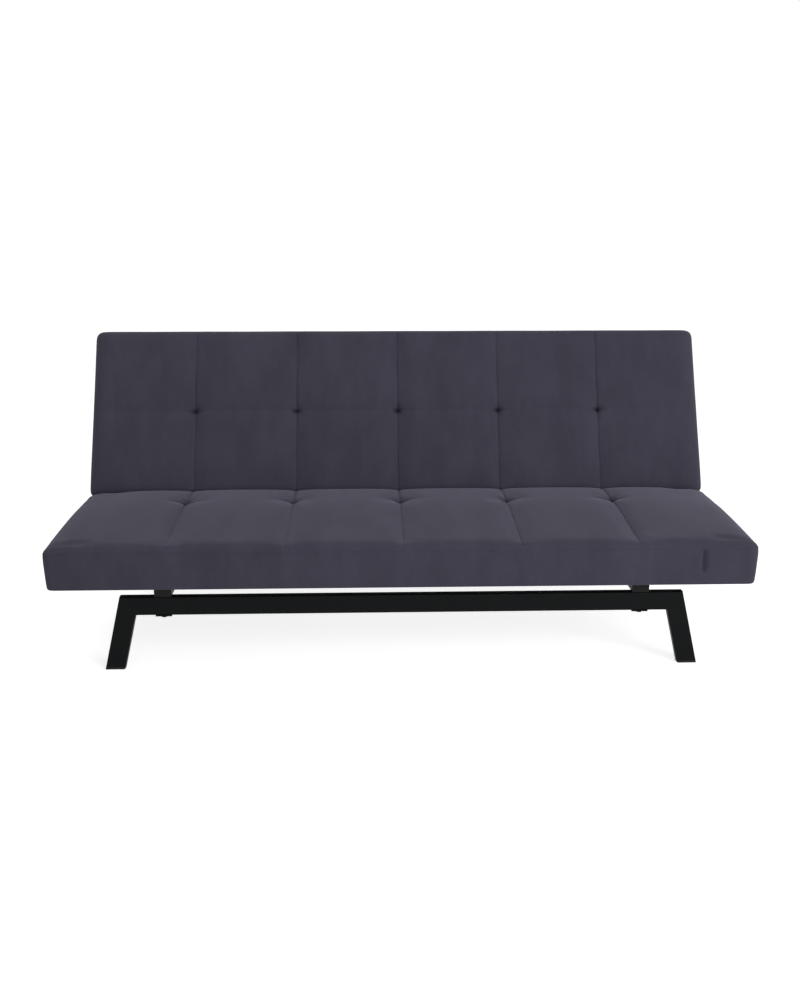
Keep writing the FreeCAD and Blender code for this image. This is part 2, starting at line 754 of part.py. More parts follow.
SCREW_Z = "-78"
SCREW_ROWS = {"seat": ("-350", "-160"), "back": ("140", "350")}
PLATE_LOW = "-96"
PLATE_HIGH = "-62"


def make_seat_arm(side_name, side):
    """The plate on the seat's outer bay rail, whose neck carries the ratchet pawl's stud."""
    body = new_body("seat_arm_" + side_name, "seat")
    outline = about_pivot([
        ("-380", PLATE_LOW),
        ("-380", PLATE_HIGH),
        ("-96", PLATE_HIGH),
        ("-76", "-40"),
        ("-42", "-36"),
        ("-knuckle_radius", "0", "0", "knuckle_radius"),
        ("knuckle_radius", "0"),
        ("14", "-30"),
        ("-28", PLATE_LOW),
    ])
    holes = [(at_y(row), at_z(SCREW_Z), "bolt_radius + bolt_play") for row in SCREW_ROWS["seat"]]
    holes.append((at_y("0"), at_z("0"), "pin_radius + pin_clearance"))
    plate(body, side, "seat_plate_x", "seat_plate_x + plate_thick", [outline], holes)


def polar(radius, angle):
    """A point about the pivot, its angle given in the sofa and drawn back to the flat."""
    turn = "(%s - back_angle) * 1 deg" % angle
    return "(%s) * cos(%s)" % (radius, turn), "(%s) * sin(%s)" % (radius, turn)


def toothed_edge():
    """Three notches, one pitch apart, for sofa, lounge and bed, with rounded teeth between."""
    points = [polar("root_radius", "-118") + polar("root_radius", "-104")]
    for notch in range(3):
        middle = "(-90 + %d * tooth_pitch)" % notch
        if notch > 0:
            points.append(polar("root_radius + 0.5", middle + " - 3") + polar("root_radius", middle))
            points.append(polar("root_radius + 0.5", middle + " + 3"))
        else:
            points.append(polar("root_radius", middle) + polar("root_radius", middle + " + 1.5"))
            points.append(polar("root_radius + 0.5", middle + " + 3"))
        crest = middle + " + tooth_pitch / 2"
        points.append(polar("tip_radius - 0.4", crest + " - 2.5") + polar("tip_radius", crest))
        if notch < 2:
            points.append(polar("tip_radius - 0.4", crest + " + 2.5"))
    return points


def make_back_arm(side_name, side):
    """The plate on the back's inner bay rail, with the ratchet's toothed sector."""
    body = new_body("back_arm_" + side_name, "back")
    hub = "(knuckle_radius + 2)"
    outline = toothed_edge() + [
        ("15", "-35"),
        ("48", PLATE_LOW),
        ("400", PLATE_LOW),
        ("400", PLATE_HIGH),
        ("74", PLATE_HIGH),
        ("32", "-20"),
        (hub, "0", "0", hub),
        ("%s * cos(150 deg)" % hub, "%s * sin(150 deg)" % hub),
    ]
    holes = [(at_y(row), at_z(SCREW_Z), "bolt_radius + bolt_play") for row in SCREW_ROWS["back"]]
    holes.append((at_y("0"), at_z("0"), "pin_radius + pin_clearance"))
    plate(body, side, "back_plate_x", "back_plate_x + plate_thick", [about_pivot(outline)], holes)


def make_arm_screws(group):
    """Coach screws through the arms into the bay rails."""
    body = new_body(group + "_arm_screws", group)
    rows = SCREW_ROWS[group]
    shanks = [(at_y(row), at_z(SCREW_Z), "bolt_radius") for row in rows]
    heads = [hexagon(at_y(row), at_z(SCREW_Z)) for row in rows]
    for side_name, side in SIDES:
        if group == "seat":
            plate(body, side, "seat_plate_x - head_thick", "seat_plate_x", heads)
            plate(body, side, "seat_plate_x", "seat_plate_x + screw_length", (), shanks)
        else:
            face = "back_plate_x + plate_thick"
            plate(body, side, face, face + " + head_thick", heads)
            plate(body, side, face + " - screw_length", face, (), shanks)


def make_pawl(side_name, side):
    """The catch under the sector: a nose up into the notch and a hooked tail for its spring."""
    body = new_body("pawl_" + side_name, "seat")
    nose = "nose_radius"
    reach = "-(tip_radius + 0.2)"
    outline = about_pivot([
        (nose, reach, "0", reach + " + nose_radius"),
        ("-" + nose, reach),
        ("-10", "-43"),
        ("-48", "-42.5"),
        ("-62", "-43.5"),
        ("-77", "-50"),
        ("-79", "-55"),
        ("-76", "-57.5"),
        ("-80", "-60"),
        ("-77", "-63"),
        ("-60", "-62.5"),
        ("-48", "-60.5"),
        ("4", "-50"),
        ("7", "-46"),
    ])
    holes = [(at_y("pawl_y"), at_z("pawl_z"), "pawl_pin_radius + pin_clearance")]
    plate(body, side, "back_plate_x", "back_plate_x + plate_thick", [outline], holes)


def make_pawl_studs():
    """Each pawl's headed stud and the post for its spring, welded on the seat arm."""
    body = new_body("pawl_studs", "seat")
    middle = (at_y("pawl_y"), at_z("pawl_z"))
    pawl_near = "back_plate_x - bolt_play"
    pawl_far = "back_plate_x + plate_thick + bolt_play"
    stages = (
        (pawl_near + " - 2", pawl_near, "pawl_pin_radius + 2"),
        (pawl_near, pawl_far, "pawl_pin_radius"),
        (pawl_far, "seat_plate_x", "pawl_pin_radius + 3"),
    )
    post = (at_y("post_y"), at_z("post_z"), "post_radius")
    for side_name, side in SIDES:
        for near, far, radius in stages:
            plate(body, side, near, far, (), [middle + (radius,)])
        plate(body, side, "back_plate_x - 1", "seat_plate_x", (), [post])


def make_pawl_spring(side_name, side):
    """The extension spring from the post to the pawl's tail, close wound."""
    spring = doc.addObject("Part::Feature", "pawl_spring_" + side_name)
    spring.Label = "pawl_spring_" + side_name
    middle_x = side * value("back_plate_x + plate_thick / 2")
    post = Vector(middle_x, value(at_y("post_y")), value(at_z("post_z")))
    tail = Vector(middle_x, value(at_y("tail_y")), value(at_z("tail_z")))
    run = tail - post
    direction = Vector(run).normalize()
    coil_radius = value("coil_radius")
    wire_radius = value("wire_radius")
    wire_start = value("post_radius") + wire_radius / 4
    wire_end = run.Length - value("spring_eye")
    coil_start = wire_start + coil_radius
    coil_end = wire_end - coil_radius
    coil = Part.makeCylinder(coil_radius, coil_end - coil_start, post + direction * coil_start, direction)
    across = Vector(wire_radius, 0, 0)
    upward = direction.cross(Vector(1, 0, 0)) * wire_radius
    foot = post + direction * wire_start
    rim = [foot + across * cos(k * pi / 3) + upward * sin(k * pi / 3) for k in range(6)]
    wire = Part.Face(Part.makePolygon(rim + rim[:1])).extrude(direction * (wire_end - wire_start))
    spring.Shape = coil.fuse(wire)
    spring.setExpression("Placement", on_sheet(STANDING["seat"]))
    bodies.append(spring)
    doc.recompute()


for name, tube_y in TUBES:
    make_beam(name, tube_y)
    for side_name, side in SIDES:
        make_leg(name, tube_y, side_name, side)
        make_foot_cap(name, tube_y, side_name, side)
make_crossbar_end_caps()
make_fixings()
make_pivot_pins()
for side_name, side in SIDES:
    make_crossbar(side_name, side)
    make_hinge_bracket(side_name, side)
    make_bearing_strips(side_name, side)
for group in ("seat", "back"):
    make_cushion(group)
    make_borders(group)
    make_timber_frame(group)
    make_dust_cover(group)
    make_arm_screws(group)
for side_name, side in SIDES:
    make_seat_arm(side_name, side)
    make_back_arm(side_name, side)
    make_pawl(side_name, side)
    make_pawl_spring(side_name, side)

make_pawl_studs()

doc.recompute()
for item in doc.Objects:
    if "Invalid" in item.State or "Error" in item.State:
        raise ValueError("%s failed: %s" % (item.Label, item.State))
for body in bodies:
    if body.Shape.isNull() or not body.Shape.isValid() or not body.Shape.Solids:
        raise ValueError("%s has no valid solid" % body.Label)

os.makedirs("parts", exist_ok=True)
for body in bodies:
    body.Shape.exportStep("parts/%s.step" % body.Label)
    box = body.Shape.BoundBox
    print("%-26s %2d solids, x %.1f..%.1f y %.1f..%.1f z %.1f..%.1f, %.1f cm3" % (
        body.Label, len(body.Shape.Solids), box.XMin, box.XMax, box.YMin, box.YMax,
        box.ZMin, box.ZMax, body.Shape.Volume / 1000))
print(len(bodies), "sub-parts")
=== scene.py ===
import json
import math
import bpy
import bmesh
from mathutils import Matrix, Vector, noise


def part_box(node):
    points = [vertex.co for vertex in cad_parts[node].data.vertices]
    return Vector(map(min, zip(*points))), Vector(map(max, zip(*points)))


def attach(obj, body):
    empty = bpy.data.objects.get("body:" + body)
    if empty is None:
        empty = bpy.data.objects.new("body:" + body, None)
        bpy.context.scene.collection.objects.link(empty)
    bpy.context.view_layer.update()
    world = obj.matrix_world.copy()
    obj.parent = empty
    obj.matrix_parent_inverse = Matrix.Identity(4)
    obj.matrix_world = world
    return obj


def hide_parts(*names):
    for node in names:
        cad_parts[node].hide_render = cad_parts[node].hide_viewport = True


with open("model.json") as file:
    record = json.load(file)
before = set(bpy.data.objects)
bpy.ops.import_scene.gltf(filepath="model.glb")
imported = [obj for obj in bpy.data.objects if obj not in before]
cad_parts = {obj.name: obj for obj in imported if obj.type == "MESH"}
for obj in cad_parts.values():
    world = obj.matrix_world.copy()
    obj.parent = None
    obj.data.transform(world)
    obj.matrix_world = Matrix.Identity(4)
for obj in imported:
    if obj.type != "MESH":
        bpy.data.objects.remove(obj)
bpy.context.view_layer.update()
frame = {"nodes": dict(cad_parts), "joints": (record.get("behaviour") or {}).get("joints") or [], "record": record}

nodes = frame["nodes"]
joints = {joint["name"]: joint for joint in frame["joints"]}
scene = bpy.context.scene


# Camera, at the photograph's angle. The picture is 800 x 1000.

cameraSettings = {
    "place": (-0.0893, -3.1938, 1.1579),
    "tiltDown": 12.60,
    "turnRight": 1.82,
    "lens": 41.39,
    "shift": (-0.0037, -0.0264),
}


def setCamera(settings):
    data = bpy.data.cameras.new("photoCamera")
    camera = bpy.data.objects.new("photoCamera", data)
    scene.collection.objects.link(camera)
    camera.location = settings["place"]
    tilt, turn = 90 - settings["tiltDown"], -settings["turnRight"]
    camera.rotation_euler = (math.radians(tilt), 0, math.radians(turn))
    data.lens = settings["lens"]
    data.sensor_width = 36
    data.shift_x, data.shift_y = settings["shift"]
    scene.camera = camera


setCamera(cameraSettings)
print("camera set")


# Materials

# A material's node tree with short calls for adding and joining nodes.
class Shader:

    def __init__(self, name):
        self.material = bpy.data.materials.new(name)
        self.material.use_nodes = True
        self.tree = self.material.node_tree
        self.surface = self.tree.nodes["Principled BSDF"]

    def add(self, kind, inputs=None, **settings):
        node = self.tree.nodes.new("ShaderNode" + kind)
        for key, value in settings.items():
            setattr(node, key, value)
        for key, value in (inputs or {}).items():
            node.inputs[key].default_value = value
        return node

    def join(self, source, target):
        self.tree.links.new(source, target)

    def set(self, **values):
        for key, value in values.items():
            self.surface.inputs[key.replace("_", " ")].default_value = value

    def objectPoint(self, stretch=(1, 1, 1)):
        place = self.add("TexCoord")
        mapping = self.add("Mapping", {"Scale": stretch})
        self.join(place.outputs["Object"], mapping.inputs["Vector"])
        return mapping.outputs["Vector"]

    def noiseAt(self, scale, detail=2.0, stretch=(1, 1, 1), rough=0.5):
        grain = self.add("TexNoise", {"Scale": scale, "Detail": detail, "Roughness": rough})
        self.join(self.objectPoint(stretch), grain.inputs["Vector"])
        return grain.outputs["Fac"]

    def between(self, factor, low, high):
        span = self.add("MapRange", {"From Min": 0.3, "From Max": 0.7, "To Min": low, "To Max": high})
        self.join(factor, span.inputs["Value"])
        return span.outputs["Result"]

    def blendColours(self, factor, first, second):
        mix = self.add("Mix", data_type="RGBA")
        mix.inputs[6].default_value = (*first, 1)
        mix.inputs[7].default_value = (*second, 1)
        self.join(factor, mix.inputs[0])
        return mix.outputs[2]

    def bump(self, height, distance, strength=1.0, under=None):
        raised = self.add("Bump", {"Distance": distance, "Strength": strength})
        self.join(height, raised.inputs["Height"])
        if under is not None:
            self.join(under, raised.inputs["Normal"])
        return raised.outputs["Normal"]


def velvet():
    shader = Shader("velvetPile")
    brushed = shader.noiseAt(11.0, 3.0, (1.0, 0.45, 0.45), 0.55)
    marks = shader.noiseAt(42.0, 4.0, (1.0, 0.35, 0.35), 0.6)
    both = shader.add("Math", {1: 0.35}, operation="MULTIPLY_ADD")
    shader.join(marks, both.inputs[0])
    shader.join(brushed, both.inputs[2])
    lean = shader.add("MapRange", {"From Min": 0.52, "From Max": 0.86, "To Min": 0.0, "To Max": 1.0})
    shader.join(both.outputs[0], lean.inputs["Value"])
    nap = shader.blendColours(lean.outputs["Result"], (0.0475, 0.0450, 0.0650), (0.0575, 0.0545, 0.0775))
    # Painted shade: where seams, tufts and the front crease pull the cover in, the colour is darkened towards
    # nearly black, standing in for the shade in those dents.
    paintedShade = shader.add("Attribute", attribute_name="paintedSeamShade")
    deep = shader.blendColours(paintedShade.outputs["Fac"], (0, 0, 0), (0.0040, 0.0038, 0.0055))
    shader.join(nap, deep.node.inputs[6])
    shader.join(deep, shader.surface.inputs["Base Color"])
    pile = shader.bump(shader.noiseAt(1500.0, 2.0), 0.0006, 0.5)
    tufts = shader.bump(shader.noiseAt(160.0, 4.0, (1.0, 0.6, 1.0)), 0.0012, 0.25, pile)
    shader.join(tufts, shader.surface.inputs["Normal"])
    shader.set(Roughness=0.92, Specular_IOR_Level=0.18, Sheen_Weight=0.30, Sheen_Roughness=0.40,
               Sheen_Tint=(0.70, 0.68, 0.85, 1.0))
    return shader.material


def powderCoat():
    shader = Shader("satinPowderCoat")
    shade = shader.noiseAt(25.0, 3.0)
    shader.join(shader.blendColours(shade, (0.0035, 0.0042, 0.0046), (0.0055, 0.0064, 0.0068)),
                shader.surface.inputs["Base Color"])
    shader.join(shader.between(shader.noiseAt(60.0, 3.0), 0.38, 0.50), shader.surface.inputs["Roughness"])
    peel = shader.bump(shader.noiseAt(650.0, 2.0), 0.0003, 0.35)
    shader.join(peel, shader.surface.inputs["Normal"])
    shader.set(Specular_IOR_Level=0.07)
    return shader.material


def zincPlate():
    shader = Shader("zincPlate")
    shade = shader.noiseAt(90.0, 3.0)
    shader.join(shader.blendColours(shade, (0.42, 0.43, 0.43), (0.62, 0.62, 0.60)),
                shader.surface.inputs["Base Color"])
    shader.join(shader.between(shader.noiseAt(140.0, 3.0, (1, 0.2, 1)), 0.28, 0.48),
                shader.surface.inputs["Roughness"])
    shader.join(shader.bump(shader.noiseAt(900.0, 2.0, (1, 0.15, 1)), 0.0002, 0.4),
                shader.surface.inputs["Normal"])
    shader.set(Metallic=1.0)
    return shader.material


def pineWood(name, stretch):
    shader = Shader(name)
    rings = shader.noiseAt(55.0, 4.0, stretch, 0.55)
    figure = shader.noiseAt(9.0, 2.0, stretch)
    both = shader.add("Math", {1: 0.5}, operation="MULTIPLY_ADD")
    shader.join(rings, both.inputs[0])
    shader.join(figure, both.inputs[2])
    grain = shader.add("MapRange", {"From Min": 0.55, "From Max": 0.95, "To Min": 0.0, "To Max": 1.0})
    shader.join(both.outputs[0], grain.inputs["Value"])
    shader.join(shader.blendColours(grain.outputs["Result"], (0.62, 0.42, 0.22), (0.40, 0.22, 0.09)),
                shader.surface.inputs["Base Color"])
    shader.join(shader.between(rings, 0.55, 0.75), shader.surface.inputs["Roughness"])
    shader.join(shader.bump(rings, 0.0008, 0.35), shader.surface.inputs["Normal"])
    return shader.material


def dustCloth():
    shader = Shader("nonWovenCloth")
    dots = shader.add("TexVoronoi", {"Scale": 420.0})
    shader.join(shader.objectPoint(), dots.inputs["Vector"])
    fibres = shader.noiseAt(700.0, 3.0, (1, 0.4, 1))
    shader.join(shader.blendColours(fibres, (0.013, 0.013, 0.014), (0.028, 0.028, 0.030)),
                shader.surface.inputs["Base Color"])
    embossed = shader.bump(dots.outputs["Distance"], 0.0006, 0.6)
    sag = shader.bump(shader.noiseAt(14.0, 3.0, (1, 1.6, 1)), 0.006, 0.35, embossed)
    shader.join(sag, shader.surface.inputs["Normal"])
    shader.set(Roughness=0.86, Specular_IOR_Level=0.25)
    return shader.material


def feltStrip():
    shader = Shader("pressedFelt")
    fibres = shader.noiseAt(900.0, 4.0)
    shader.join(shader.blendColours(fibres, (0.020, 0.020, 0.020), (0.050, 0.049, 0.047)),
                shader.surface.inputs["Base Color"])
    shader.join(shader.bump(fibres, 0.0008, 0.8), shader.surface.inputs["Normal"])
    shader.set(Roughness=0.95, Specular_IOR_Level=0.15)
    return shader.material


def mouldedPlastic(name, shade):
    shader = Shader(name)
    grain = shader.noiseAt(1200.0, 2.0)
    lighter = [1.6 * value for value in shade]
    shader.join(shader.blendColours(shader.noiseAt(40.0), shade, lighter),
                shader.surface.inputs["Base Color"])
    shader.join(shader.bump(grain, 0.0002, 0.5), shader.surface.inputs["Normal"])
    shader.join(shader.between(shader.noiseAt(80.0), 0.48, 0.60), shader.surface.inputs["Roughness"])
    shader.set(Specular_IOR_Level=0.15)
    return shader.material


finishes = {
    "velvet": velvet(),
    "black_steel": powderCoat(),
    "zinc_steel": zincPlate(),
    "pine": pineWood("pineRail", (0.06, 1.0, 1.0)),
    "dust_cloth": dustCloth(),
    "felt": feltStrip(),
    "black_plastic": mouldedPlastic("mouldedPlastic", (0.0045, 0.0045, 0.0050)),
}
footPlastic = mouldedPlastic("footPlastic", (0.0120, 0.0125, 0.0130))
pineAcross = pineWood("pineCrossRail", (1.0, 0.06, 1.0))
across = ("end_rail", "cross_rails", "slats")
blackened = ("clamp_plates", "frame_bolts")  # in the photograph these are as dark as the beams

for part in frame["record"]["subparts"]:
    cadNode = nodes[part["node"]]
    finish = finishes[part["material_slot"]]
    if any(word in part["node"] for word in across):
        finish = pineAcross
    if "foot_cap" in part["node"]:
        finish = footPlastic
    if part["node"] in blackened:
        finish = finishes["black_steel"]
    cadNode.data.materials.clear()
    cadNode.data.materials.append(finish)
print("finishes on", len(nodes), "nodes")


# Upholstery. Each panel is drawn lying flat, with x along the sofa, y from its first edge and
# z up from its underside, and is then put where the frame holds it.

pivot = Vector(joints["back_recline"]["pos_m"])
seatLow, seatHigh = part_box("seat_cushion")
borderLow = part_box("seat_front_border")[0]
halfWidth = seatHigh.x
panelThick = 0.130
pivotGap = 0.015
sofaAngle = math.radians(67)

panels = {
    "seat": {
        "depth": seatHigh.y - seatLow.y,
        "tuftRow": 0.367,
        "nearCorner": 0.012,
        "farCorner": 0.034,
        "topRound": 0.017,
        "rimSeam": 0.022,
        "crossSeam": 0.0,
        "frontFall": 0.019,
        "fallReach": 0.34,
        "endFall": 0.006,
        "dome": 0.010,
        "creased": True,
        "proud": 0.010,
        "flare": 0.0,
        "rise": 0.0,
        "drop": 0.0015,
        "place": Matrix.Translation((0, seatLow.y, borderLow.z)),
    },
    "back": {
        "depth": 0.5,
        "tuftRow": 0.25,
        "nearCorner": 0.009,
        "farCorner": 0.018,
        "topRound": 0.020,
        "rimSeam": 0.030,
        "crossSeam": 0.10,
        "frontFall": 0.007,
        "fallReach": 0.09,
        "endFall": 0.010,
        "dome": 0.0,
        "creased": False,
        "proud": 0.006,
        "flare": 0.003,
        "rise": 0.002,
        "drop": 0.0,
        "place": Matrix.Translation(pivot) @ Matrix.Rotation(sofaAngle, 4, "X")
        @ Matrix.Translation((0, pivotGap, borderLow.z - pivot.z)),
    },
}

upholstery = {
    "columns": 6,
    "step": 0.0094,
    "cornerReach": 0.040,
    "cornerPasses": 12,
    "footRound": 0.005,
    "hem": 0.0100,
    "hemLift": 0.0013,
    "seamHalf": 0.0022,
    "seamDeep": 0.0016,
    "crown": 0.0016,
    "channelDeep": 0.0026,
    "channelReach": 0.009,
    "wallBulge": 0.002,
}

tuft = {
    "deep": 0.0230,
    "reach": 0.0100,
    "shares": (0.66, 0.20, 0.14),
    "slot": (2.6, 0.45),
    "wing": (0.40, 2.4),
    "evenness": (0.88, 0.16),
    "foldDeep": 0.0011,
    "folds": 5,
    "foldRadius": 0.022,
    "foldWide": 0.014,
}

# How tightly thread and frame hold the cover while it swells.
sewing = {
    "crossSeam": 0.75,
    "tuftRadius": 0.008,
    "border": 0.85,
}

swelling = {
    "frames": 20,
    "cap": 0.003,
    "smoothing": 4,
}

clothSettings = {
    "quality": 6,
    "mass": 0.2,
    "tension_stiffness": 15,
    "compression_stiffness": 15,
    "shear_stiffness": 6,
    "bending_stiffness": 2.5,
    "tension_damping": 12,
    "use_pressure": True,
    "uniform_pressure_force": 1.1,
    "vertex_group_mass": "sewn",
    "pin_stiffness": 1.0,
    "shrink_min": -0.001,
}

draping = {
    "endsFrom": 0.80,
    "endsOver": 0.10,
    "footShare": 0.3,
    "stillBelow": 0.05,
    "looseOver": 0.08,
    "endReach": 0.055,
    "domeTo": 0.42,
    "rearReach": 0.035,
}

frontCrease = {
    "x": 0.766,
    "half": 0.007,
    "middle": 0.070,
    "reach": 0.036,
    "deep": 0.0055,
}

# Sizes and strengths of the painted shade in the seams, at the tufts and in the front crease.
paintedShadeSizes = {
    "seam": 0.36,
    "seamWide": 0.0017,
    "leastSeam": 0.15,
    "tuft": 0.90,
    "tuftAcross": 0.0105,
    "tuftAlong": 0.0070,
    "crease": 0.5,
    "creaseWide": 0.004,
    "below": 0.018,
}


# Grid lines between the seams, with five close together at each seam.
def spread(edges, step, half):
    lines = [edges[0]]
    for i in range(len(edges) - 1):
        low = edges[i] + (3 * half if i > 0 else 0)
        high = edges[i + 1] - (3 * half if i < len(edges) - 2 else 0)
        count = max(2, round((high - low) / step))
        if i > 0:
            lines += [edges[i] - half, edges[i], edges[i] + half, low]
        lines += [low + (high - low) * k / count for k in range(1, count + 1)]
    return lines


def pillow(share, power):
    return 1 - abs(2 * share - 1) ** power


# From 1 at no distance down to 0 at the reach.
def fading(distance, reach):
    return max(0, 1 - distance / reach)


# From 0 at the start up to 1 after the given run.
def ramp(value, start, run):
    return max(0, min(1, (value - start) / run))


def bell(distance, width, power=2):
    return math.exp(-(distance / width) ** power)


# The x of the column seam nearest to a point.
def seamLine(x, shape):
    column = 2 * halfWidth / shape["columns"]
    return -halfWidth + round((x + halfWidth) / column) * column


# Height of the cover above the panel's nominal top before the cloth swells.
def topHeight(x, y, panel, shape):
    column = 2 * halfWidth / shape["columns"]
    k = max(0, min(int((x + halfWidth) / column), shape["columns"] - 1))
    acrossShare = (x + halfWidth) / column - k
    height = shape["crown"] * pillow(acrossShare, 2.2) * pillow(y / panel["depth"], 6.0)
    seam = round((x + halfWidth) / column)
    seamX = -halfWidth + seam * column
    aside, beyond = abs(x - seamX), abs(y - panel["tuftRow"])
    if 0 < seam < shape["columns"]:
        height -= shape["channelDeep"] * math.exp(-aside / shape["channelReach"])
        if aside < 1e-6:
            height -= shape["seamDeep"]
        height -= tuftPull(x - seamX, y - panel["tuftRow"], seam)
    crossSeam = panel["crossSeam"]
    height -= crossSeam * shape["channelDeep"] * math.exp(-beyond / shape["channelReach"])
    if beyond < 1e-6:
        height -= crossSeam * shape["seamDeep"]
    return height


# The dent where the thread pulls a tuft down, with folds that run out from it.
def tuftPull(x, y, seam):
    away, angle = math.hypot(x, y), math.atan2(y, x)
    slot, wing = tuft["slot"], tuft["wing"]
    dents = (away, math.hypot(x * slot[0], y * slot[1]), math.hypot(x * wing[0], y * wing[1]))
    dent = sum(share * math.exp(-size / tuft["reach"]) for share, size in zip(tuft["shares"], dents))
    middle, swing = tuft["evenness"]
    pull = middle + swing * math.sin(2.3 * seam + 0.7)
    folds = math.cos(tuft["folds"] * angle + 1.7 * seam) * bell(away - tuft["foldRadius"], tuft["foldWide"])
    return pull * tuft["deep"] * dent + tuft["foldDeep"] * folds


# A closed shell over the panel: sewn top, rounded rim, border wall and turned-in foot.
def panelMesh(name, panel, shape):
    r, reach = panel["topRound"], shape["cornerReach"]
    depth = panel["depth"]
    column = 2 * halfWidth / shape["columns"]
    farX = halfWidth - r
    edgesX = [-farX] + [-halfWidth + k * column for k in range(1, shape["columns"])] + [farX]
    lineX = spread(edgesX, shape["step"], shape["seamHalf"])
    lineY = spread([r, panel["tuftRow"], depth - r], shape["step"], shape["seamHalf"])
    nx, ny = len(lineX), len(lineY)

    # Where a point of the rim lies on the outline drawn in by an inset, with its corners rounded.
    def rimPoint(x, y, inset):
        sideX = 1 if x > 0 else -1
        inward = 1 if y < depth / 2 else -1
        radius = max(panel["nearCorner" if inward > 0 else "farCorner"] - inset, 0)
        cornerX = sideX * (halfWidth - inset)
        cornerY = inset if inward > 0 else depth - inset
        fromY = min(abs(y - r), abs(depth - r - y))
        alongX = fromY < 1e-9
        run = farX - abs(x) if alongX else fromY
        if run >= reach:
            return Vector((x, cornerY)) if alongX else Vector((cornerX, y))
        arc = math.pi / 4 * radius
        walked = run / reach * (arc + reach + r - inset - radius)
        if walked < arc:
            turn = math.pi / 4 - walked / radius
            away, aside = radius * math.cos(turn), radius * math.sin(turn)
        else:
            away, aside = radius, arc - walked
        outX, outY = (aside, away) if alongX else (away, aside)
        return Vector((cornerX + sideX * (outX - radius), cornerY - inward * (outY - radius)))

    def bandPoint(i, j, outset):
        inner = rimPoint(lineX[i], lineY[j], r)
        outer = rimPoint(lineX[i], lineY[j], 0)
        return inner + (outer - inner) * (outset / r)

    mesh = bmesh.new()
    grid = []
    for j, y in enumerate(lineY):
        row = []
        for i, x in enumerate(lineX):
            onRim = i in (0, nx - 1) or j in (0, ny - 1)
            spot = rimPoint(x, y, r) if onRim else Vector((x, y))
            row.append(mesh.verts.new((spot.x, spot.y, panelThick + topHeight(x, y, panel, shape))))
        grid.append(row)
    for turn in range(shape["cornerPasses"]):
        for i in (1, 2, 3, nx - 4, nx - 3, nx - 2):
            for j in (1, 2, 3, ny - 4, ny - 3, ny - 2):
                around = (grid[j][i - 1], grid[j][i + 1], grid[j - 1][i], grid[j + 1][i])
                grid[j][i].co.xy = sum((vertex.co.xy for vertex in around), Vector((0, 0))) / 4
    for j in range(ny - 1):
        for i in range(nx - 1):
            mesh.faces.new((grid[j][i], grid[j][i + 1], grid[j + 1][i + 1], grid[j + 1][i]))

    rim = [(i, 0) for i in range(nx)] + [(nx - 1, j) for j in range(1, ny)]
    rim += [(i, ny - 1) for i in range(nx - 2, -1, -1)] + [(0, j) for j in range(ny - 2, 0, -1)]

    # Bands below the top grid: (outset from the inner line, height, how much of the top's shape stays)
    bands = []
    for degrees in (18, 36, 54, 72, 90):
        turn = math.radians(degrees)
        bands.append((r * math.sin(turn), panelThick - r * (1 - math.cos(turn)), math.cos(turn) ** 1.5))
    seam, half, deep = panelThick - panel["rimSeam"], shape["seamHalf"], shape["seamDeep"]
    bands += [(r, seam + half, 0), (r - deep, seam, 0), (r, seam - half, 0)]
    foot = shape["footRound"]
    wallTop = seam - half
    count = max(2, round((wallTop - foot) / shape["step"]))
    for k in range(1, count + 1):
        share = k / count
        bulge = shape["wallBulge"] * pillow(share, 2) * 0.5
        bands.append((r + bulge, wallTop + (foot - wallTop) * share, 0))
    drop = panel["drop"]
    cut = foot * 0.29
    bands += [(r - cut, cut - drop, 0), (r - foot, -drop, 0)]
    bands += [(r - shape["hem"] + 0.0002, -drop, 0), (r - shape["hem"], shape["hemLift"], 0)]

    previous = [grid[j][i] for i, j in rim]
    loops = [previous]
    for outset, height, keep in bands:
        loop = []
        for i, j in rim:
            spot = bandPoint(i, j, outset)
            swell = keep * topHeight(lineX[i], lineY[j], panel, shape)
            loop.append(mesh.verts.new((spot.x, spot.y, height + swell)))
        for k in range(len(loop)):
            after = (k + 1) % len(loop)
            mesh.faces.new((previous[k], loop[k], loop[after], previous[after]))
        previous = loop
        loops.append(loop)
    closeUnderside(mesh, previous, nx, ny)
    mesh.normal_update()
    data = bpy.data.meshes.new(name)
    mesh.verts.index_update()
    seams = sewnPoints(mesh, grid, lineX, lineY, loops, panel, shape)
    mesh.to_mesh(data)
    mesh.free()
    piece = bpy.data.objects.new(name, data)
    scene.collection.objects.link(piece)
    return piece, seams


def closeUnderside(mesh, rim, nx, ny):
    # Strips from front to rear, because one face with hundreds of corners subdivides very slowly.
    front = rim[:nx]
    right = rim[nx:nx + ny - 2]
    rear = list(reversed(rim[nx + ny - 2:2 * nx + ny - 2]))
    left = list(reversed(rim[2 * nx + ny - 2:]))
    for i in range(1, nx - 2):
        mesh.faces.new((front[i], rear[i], rear[i + 1], front[i + 1]))
    mesh.faces.new([front[0]] + left + [rear[0], rear[1], front[1]])
    mesh.faces.new([front[-2], rear[-2], rear[-1]] + list(reversed(right)) + [front[-1]])


# How firmly each point is held: seams and tufts by thread, the border by the frame.
def sewnPoints(mesh, grid, lineX, lineY, loops, panel, shape):
    held = [0.0] * len(mesh.verts)
    for j, y in enumerate(lineY):
        for i, x in enumerate(lineX):
            seamX = seamLine(x, shape)
            inner = abs(seamX) < halfWidth - 0.01
            beyond = abs(y - panel["tuftRow"])
            index = grid[j][i].index
            if inner and abs(x - seamX) < 1e-6:
                held[index] = 1.0
            elif beyond < 1e-6:
                held[index] = min(sewing["crossSeam"], 6 * panel["crossSeam"])
            if inner and math.hypot(x - seamX, beyond) < sewing["tuftRadius"]:
                held[index] = 1.0
    # The wall's loops follow the six that round the rim; its seam and its foot are held firmly.
    for level, loop in enumerate(loops[6:]):
        for vertex in loop:
            held[vertex.index] = 1.0 if level < 3 or level > 6 else sewing["border"]
    return held


